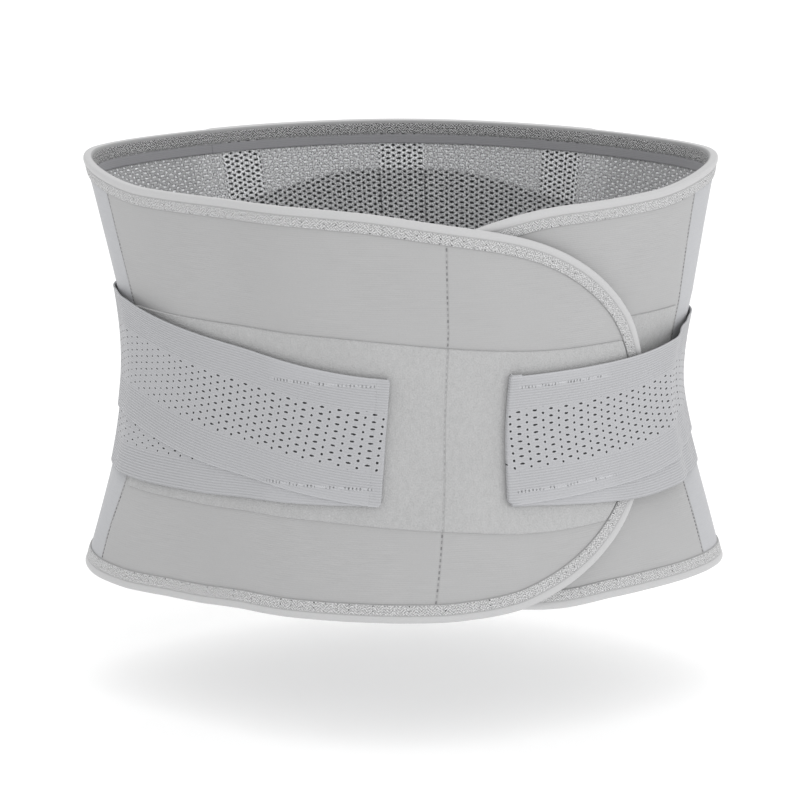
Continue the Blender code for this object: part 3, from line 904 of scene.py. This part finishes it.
def build_wing_panels(side):
    """Two panels sewn together over one lining, which is made in two stretches at the fold."""
    seam = -SIDE_SEAM
    shell = LINING + GAP
    rear = -BACK_SEAM
    trims = build_inner_elastic(side)
    lining = wing_panel(f"{side}_lining_mesh", side, -FOLD_END, None, 0.0, LINING, MESH)
    settle(lining, f"{side}_lining", body=f"{side}_wing")
    lining = wing_panel(f"{side}_lining_mesh_rear", side, rear, -FOLD_END, 0.0, LINING, MESH)
    settle(lining, f"{side}_lining", hinge=wing_hinge(side))
    side_panel = wing_panel(
        f"{side}_side_panel_knit", side, rear, seam - GAP / 4, shell, WING_OUTER, SIDE, sway=True
    )
    settle(side_panel, f"{side}_side_panel", hinge=wing_hinge(side))
    front = wing_panel(
        f"{side}_front_panel_cloth", side, seam + GAP / 4, None, shell, WING_OUTER, FRONT[side], sway=True
    )
    settle(front, f"{side}_front_panel", body=f"{side}_wing")


def build_wing_binding(side):
    """One tape round the top, the tip and the bottom, made in three stretches at the fold."""
    facing = -WINGS[side]["sign"]
    reach = tip_columns(-BACK_SEAM, WINGS[side]["tip"], 0.0015)
    low, high = wing_edges(side, reach)
    upper = np.stack([facing * reach, high], -1)
    lower = np.stack([facing * reach, low], -1)[::-1]
    path = np.concatenate([upper, lower[1:]])
    path = path if facing > 0 else path[::-1]
    length = float(np.hypot(*np.diff(path, axis=0).T).sum())
    fold = BACK_SEAM - FOLD_END
    ends = ("top", "bottom") if facing > 0 else ("bottom", "top")
    for name, stretch in zip(ends, ((0.0, fold), (length - fold, length))):
        obj = sweep(
            f"{side}_edge_binding_{name}_rear", path, WING_OUTER, FLAP_LIFT[side], BINDING, stretch=stretch
        )
        settle(obj, f"{side}_binding", hinge=wing_hinge(side))
    obj = sweep(
        f"{side}_edge_binding", path, WING_OUTER, FLAP_LIFT[side], BINDING, stretch=(fold, length - fold)
    )
    settle(obj, f"{side}_binding", body=f"{side}_wing")


def loop_edge(reach, rear, tip):
    """Height of a loop pad's edge, from its rear height to its height near the tip."""
    return rear + (tip - rear) * ease(reach, *LOOP_FALL)


def build_loop_pad(side):
    facing = -WINGS[side]["sign"]
    tip = WINGS[side]["tip"] - PAD_INSET
    reach = tip_columns(-LOOP_REAR, tip)
    low, high = wing_edges(side, reach, PAD_INSET)
    low = np.maximum(low, loop_edge(reach, *LOOP_BOTTOM))
    high = np.minimum(high, loop_edge(reach, *LOOP_TOP))
    keep = high - low > THINNEST

    def ridge(s, z, bottom, top):
        """The sewn edge stands up a little."""
        inward = np.minimum(z - bottom, top - z)
        return 0.22 * MM * ease(inward, 0.0, 0.5 * MM) * ease(inward, 1.4 * MM, 0.6 * MM)

    obj = slab(
        f"{side}_loop_pad_pile", *eastward(side, facing * reach[keep], low[keep], high[keep]),
        WING_OUTER - 0.1 * MM, WING_OUTER + LOOP + 0.25 * MM, FLAP_LIFT[side], PILE[side],
        rounding=1.2 * MM, bulge=ridge,
    )
    return settle(obj, f"{side}_loop_pad", body=f"{side}_wing")


def elastic_bottoms(low, high):
    """Where the lower edges of the two inner elastics are, between those of the cloth."""
    return ("top", high - INNER_ELASTIC_TOP), ("bottom", low + INNER_ELASTIC_TOP - INNER_ELASTIC)


def build_inner_elastic(side):
    """Narrow ribbed elastic that runs on along the wing's inner face, under the binding."""
    facing = -WINGS[side]["sign"]
    reach = columns(-BACK_SEAM, INNER_ELASTIC_END[side])
    s, low, high = eastward(side, facing * reach, *wing_edges(side, reach))
    made = []
    for name, bottom in elastic_bottoms(low, high):
        obj = slab(
            f"{side}_inner_elastic_{name}_rib", s, bottom + 0.1 * MM, bottom + INNER_ELASTIC - 0.1 * MM,
            -EDGE_ROOM, -GAP, FLAP_LIFT[side], RIBBED, row_step=0.001,
            pattern=lambda place, z, line=bottom: (place, z - np.interp(place, s, line)),
        )
        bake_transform(obj)
        made.append(obj)
    return made


def build_hook_pad():
    reach = tip_columns(HOOK_PAD_START, WINGS["left"]["tip"] - PAD_INSET)
    low, high = wing_edges("left", reach, PAD_INSET)
    keep = high - low > THINNEST
    obj = slab(
        "left_hook_pad_tape", reach[keep], low[keep], high[keep], -GAP - HOOK, -GAP, left_flap_lift, HOOKS
    )
    return settle(obj, "left_hook_pad", body="left_wing")


def band_pattern(side, level, s, z):
    """Texture coordinates of a band: along it from the free end, and across it."""
    wing = WINGS[side]
    reach = np.abs(s)
    across = z - flowing(reach, wing[level])
    slope = (flowing(reach + 2 * MM, wing[level]) - flowing(reach - 2 * MM, wing[level])) / (4 * MM)
    along = reach - wing["tab"]
    lean = 1.2 * slope + wing["lean"] * np.exp(-np.abs(along) / 0.04)
    return along + lean * across, across


def sewn_pattern(side, s, z):
    """Texture coordinates of what is sewn level across a strap's free end."""
    wing = WINGS[side]
    return np.abs(s) - wing["tab"], z - TAB_CENTRE - wing["seam_rise"]


def tab_skew(side, s, z):
    """A strap's free end leans, and its corners are rounded."""
    wing = WINGS[side]
    along = np.maximum(np.abs(s) - wing["tab"], 0.0)
    level = z - TAB_CENTRE
    corner = np.clip((np.abs(level) - TAB_HEIGHT / 2 + TAB_CORNER) / TAB_CORNER, 0, 1)
    lean = wing["slant"] * level * np.exp(-along / 0.03)
    return wing["sign"] * (lean + TAB_CORNER * (1 - np.sqrt(1 - corner**2)) * np.exp(-along / 0.006))


def band_piece(side, level, near, far, name):
    """One stretch of an elastic band between two distances from the front centre."""
    sign = WINGS[side]["sign"]
    inner = UPPER_BAND_INNER if level == "upper" else LOWER_BAND_INNER

    def gape(s, z, low, high):
        """The top edge of the upper band stands off in front of the side, and both at the side itself."""
        reach = np.abs(s)
        off = SIDE_GAPE[side] * hill(reach, 0.150, 0.022) * ease((z - low) / (high - low), 0.7, 1.0)
        slack = SIDE_SLACK[side] * hill(reach, 0.207, 0.030) * hill(z, 0.088, 0.026)
        return (off if level == "upper" else 0.0) + slack

    s = (sign * columns(near, far))[::sign]
    middle = flowing(np.abs(s), WINGS[side][level])
    half = BAND_HEIGHTS[level] / 2
    return slab(
        name, s, middle - half, middle + half, inner, inner + BAND, STRAP_LIFT[side], ELASTIC,
        pattern=lambda place, z: band_pattern(side, level, place, z),
        sewn=lambda place, z: sewn_pattern(side, place, z),
        skew=lambda place, z: tab_skew(side, place, z),
        bulge=gape, row_step=0.002,
    )


def build_strap(side):
    """Two bands, each made in two stretches, with the hook patch and folded tape of the free end."""
    wing = WINGS[side]
    near = wing["tab"] + TAB_MARGIN
    patch_inner = LOWER_BAND_INNER - GAP - HOOK
    rim = build_rim(side, patch_inner)
    for level in ("upper", "lower"):
        front = band_piece(side, level, near, STRAP_HINGE, f"{side}_{level}_band_elastic")
        settle(front, f"{side}_{level}_band", hinge=strap_hinge(side))
        rear = band_piece(side, level, STRAP_HINGE, BACK_SEAM - GAP, f"{side}_{level}_band_rear_elastic")
        settle(rear, f"{side}_{level}_band_rear", hinge=wing_hinge(side))
    sign = wing["sign"]
    reach = columns(*sorted((sign * (near + 0.3 * MM), sign * (wing["tab"] + TAB_LENGTH))))
    half = TAB_HEIGHT / 2 - 2.0 * MM
    patch = slab(
        f"{side}_hook_patch_tape", reach, np.full_like(reach, TAB_CENTRE - half),
        np.full_like(reach, TAB_CENTRE + half), patch_inner, patch_inner + HOOK, STRAP_LIFT[side], HOOKS,
        skew=lambda place, z: tab_skew(side, place, z),
    )
    settle(patch, f"{side}_hook_patch", body=f"{side}_strap")


def build_rim(side, inner):
    """The folded end of a strap: a soft roll over the end and a thin leg on its face."""
    wing = WINGS[side]
    sign = wing["sign"]
    base, top = inner / MM, (UPPER_BAND_INNER + BAND) / MM
    profile = np.array(
        [
            (0.75, base + 0.1), (0.2, base + 0.15), (-0.10, base + 0.6), (-0.18, (base + top) / 2),
            (-0.12, top - 0.25), (0.08, top + 0.08), (0.5, top + 0.26), (1.2, top + 0.32), (2.6, top + 0.28),
            (4.2, top + 0.24), (5.2, top + 0.16), (5.6, top + 0.05), (5.5, top + 0.02), (0.75, top + 0.02),
        ]
    ) * MM
    half = TAB_HEIGHT / 2
    heights = columns(TAB_CENTRE - half + 0.2 * MM, TAB_CENTRE + half - 0.2 * MM, 1.2 * MM)
    flat_s, z = np.meshgrid(sign * (wing["tab"] + profile[:, 0]), heights)
    s = flat_s + tab_skew(side, flat_s, z)
    points = wrap(s, z, profile[:, 1] + STRAP_LIFT[side](s))
    uv = np.stack(band_pattern(side, "upper", flat_s, z), -1).reshape(-1, 2)
    sewn = np.stack(sewn_pattern(side, flat_s, z), -1).reshape(-1, 2)
    obj = tube(f"{side}_tab_rim", points, uv, ELASTIC, sewn, flip=sign < 0)
    return settle(obj, f"{side}_tab_edge", body=f"{side}_strap")


def back_rectangle(name, ends, heights, inner, outer, material, slot, node, cloth=True, trims=(),
                   lift=no_lift, **more):
    """A piece of the back section between two distances and two heights."""
    s = columns(*ends, 1.5 * MM)
    low, high = (np.full_like(s, height) for height in heights)
    obj = slab(name, s, low, high, inner, outer, lift, material, **more)
    return settle(obj, node, body="back")


def build_lumbar_pad():
    """Thin foam between the lining and the stays, whose top falls away to its sides."""
    s = columns(BACK_CENTRE - LUMBAR_PAD_HALF_WIDTH, BACK_CENTRE + LUMBAR_PAD_HALF_WIDTH)
    bottom, top = LUMBAR_PAD_ENDS
    high = top - LUMBAR_PAD_FALL * ease(np.abs(s - BACK_CENTRE), 0.045, LUMBAR_PAD_HALF_WIDTH)
    obj = slab(
        "lumbar_pad_foam", s, np.full_like(s, bottom), high, LUMBAR_INNER, LUMBAR_INNER + LUMBAR_PAD,
        no_lift, FOAM,
    )
    settle(obj, "lumbar_pad", body="back")


def build_back():
    edges = (BACK_SEAM, PERIMETER - BACK_SEAM)
    span = (EDGE_ROOM, BACK_HEIGHT - EDGE_ROOM)
    elastics = []
    for name, bottom in elastic_bottoms(0.0, BACK_HEIGHT):
        elastics.append(
            back_rectangle(
                f"inner_elastic_{name}_rib", edges, (bottom + 0.1 * MM, bottom + INNER_ELASTIC - 0.1 * MM),
                -EDGE_ROOM, -GAP, RIBBED, "elastic_band", f"inner_elastic_{name}", cloth=False,
                row_step=0.001, pattern=lambda s, z, line=bottom: (s, z - line),
            )
        )
    back_rectangle(
        "back_lining_mesh", edges, span, 0.0, LINING, MESH, "mesh_fabric", "back_lining", trims=elastics
    )
    back_rectangle(
        "back_panel_cloth", edges, span, BACK_INNER, BACK_OUTER, BACK_CLOTH, "front_fabric", "back_panel",
        lift=back_taper,
    )
    build_lumbar_pad()
    for number, offset in enumerate(STAY_OFFSETS, 1):
        ends = (BACK_CENTRE + offset - STAY_HALF_WIDTH, BACK_CENTRE + offset + STAY_HALF_WIDTH)
        back_rectangle(
            f"stay_{number}_strip", ends, STAY_ENDS, STAY_INNER, STAY_INNER + STAY, PLASTIC,
            "stay_plastic", f"stay_{number}", cloth=False,
        )
    for number, offset in enumerate(POCKET_OFFSETS, 1):
        ends = (BACK_CENTRE + offset - POCKET_HALF_WIDTH, BACK_CENTRE + offset + POCKET_HALF_WIDTH)
        back_rectangle(
            f"stay_pocket_{number}_tape", ends, POCKET_ENDS, POCKET_INNER, POCKET_INNER + POCKET, TWILL,
            "trim_tape", f"stay_pocket_{number}",
        )
    taped = (SEAM_TAPE_MARGIN, BACK_HEIGHT - SEAM_TAPE_MARGIN)
    for name, start in (("right", edges[0]), ("left", edges[1] - SEAM_TAPE_WIDTH)):
        back_rectangle(
            f"seam_tape_{name}_twill", (start, start + SEAM_TAPE_WIDTH), taped, BACK_OUTER + GAP / 2,
            BACK_OUTER + GAP + TAPE, TWILL, "trim_tape", f"seam_tape_{name}", lift=back_taper,
        )
    for name, z, order in (("top", BACK_HEIGHT, slice(None)), ("bottom", 0.0, slice(None, None, -1))):
        path = np.array([(edges[0], z), (edges[1], z)])[order]
        obj = sweep(f"back_binding_{name}_tape", path, BACK_OUTER, no_lift, BINDING, back_taper)
        settle(obj, f"back_binding_{name}", body="back")


for wing_side in ("left", "right"):
    build_wing_panels(wing_side)
    build_wing_binding(wing_side)
    build_loop_pad(wing_side)
    build_strap(wing_side)
build_hook_pad()
build_back()


# ---------------------------------------------------------------- stage

WHITE = (1.0, 1.0, 1.0, 1.0)
FLOOR_HEIGHT = -0.066
FLOOR_HALF = 12.0
FLOOR_WHITE = 0.97
FLOOR_GLOW = 0.12


def floor():
    """A pale floor a little below the belt, whose shadow the photograph shows well apart from it."""
    mesh = bpy.data.meshes.new("studio_floor")
    corners = ((-1, -1), (1, -1), (1, 1), (-1, 1))
    mesh.from_pydata([(x * FLOOR_HALF, y * FLOOR_HALF, FLOOR_HEIGHT) for x, y in corners], [], [(0, 1, 2, 3)])
    material = bpy.data.materials.new("pale_floor")
    material.use_nodes = True
    shader = material.node_tree.nodes["Principled BSDF"]
    adjust(shader, {"Base Color": (FLOOR_WHITE, FLOOR_WHITE, FLOOR_WHITE, 1.0), "Roughness": 0.9})
    adjust(shader, {"Specular IOR Level": 0.1, "Emission Color": WHITE, "Emission Strength": FLOOR_GLOW})
    mesh.materials.append(material)
    obj = bpy.data.objects.new("studio_floor", mesh)
    bpy.context.scene.collection.objects.link(obj)


def area_light(name, place, aim, size, power):
    data = bpy.data.lights.new(name, "AREA")
    data.shape = "DISK"
    data.size = size
    data.energy = power
    obj = bpy.data.objects.new(name, data)
    obj.location = place
    way = np.array(aim, float) - np.array(place, float)
    obj.rotation_mode = "QUATERNION"
    obj.rotation_quaternion = Vector(way).to_track_quat("-Z", "Y")
    bpy.context.scene.collection.objects.link(obj)


def studio():
    """A white room with a soft light overhead and a broad key from the front right."""
    world = bpy.data.worlds.new("soft_white")
    world.use_nodes = True
    adjust(world.node_tree.nodes["Background"], {"Color": WHITE, "Strength": 1.0})
    bpy.context.scene.world = world
    area_light("overhead", (0.0, -0.1, 1.8), (0.0, 0.0, 0.0), 1.5, 3.0)
    area_light("front_right", (2.3, -1.8, 0.8), (0.0, 0.0, 0.1), 1.8, 14.0)
    bpy.context.scene.view_settings.view_transform = "Standard"


CAMERA_DISTANCE = 1.70
CAMERA_ELEVATION = math.radians(12.3)
CAMERA_LENS = 150.0
AIM_HEIGHT = 0.105
AIM_DROP = 0.0224
AIM_ACROSS = -0.0020


def camera():
    data = bpy.data.cameras.new("camera")
    data.lens = CAMERA_LENS
    data.sensor_width = 36.0
    obj = bpy.data.objects.new("camera", data)
    bpy.context.scene.collection.objects.link(obj)
    back = Vector((0.0, -math.cos(CAMERA_ELEVATION), math.sin(CAMERA_ELEVATION)))
    obj.location = Vector((0.0, 0.0, AIM_HEIGHT)) + back * CAMERA_DISTANCE
    target = Vector((AIM_ACROSS, 0.0, AIM_HEIGHT - AIM_DROP / math.cos(CAMERA_ELEVATION)))
    obj.rotation_mode = "QUATERNION"
    obj.rotation_quaternion = (target - obj.location).to_track_quat("-Z", "Y")
    bpy.context.scene.camera = obj


floor()
studio()
camera()
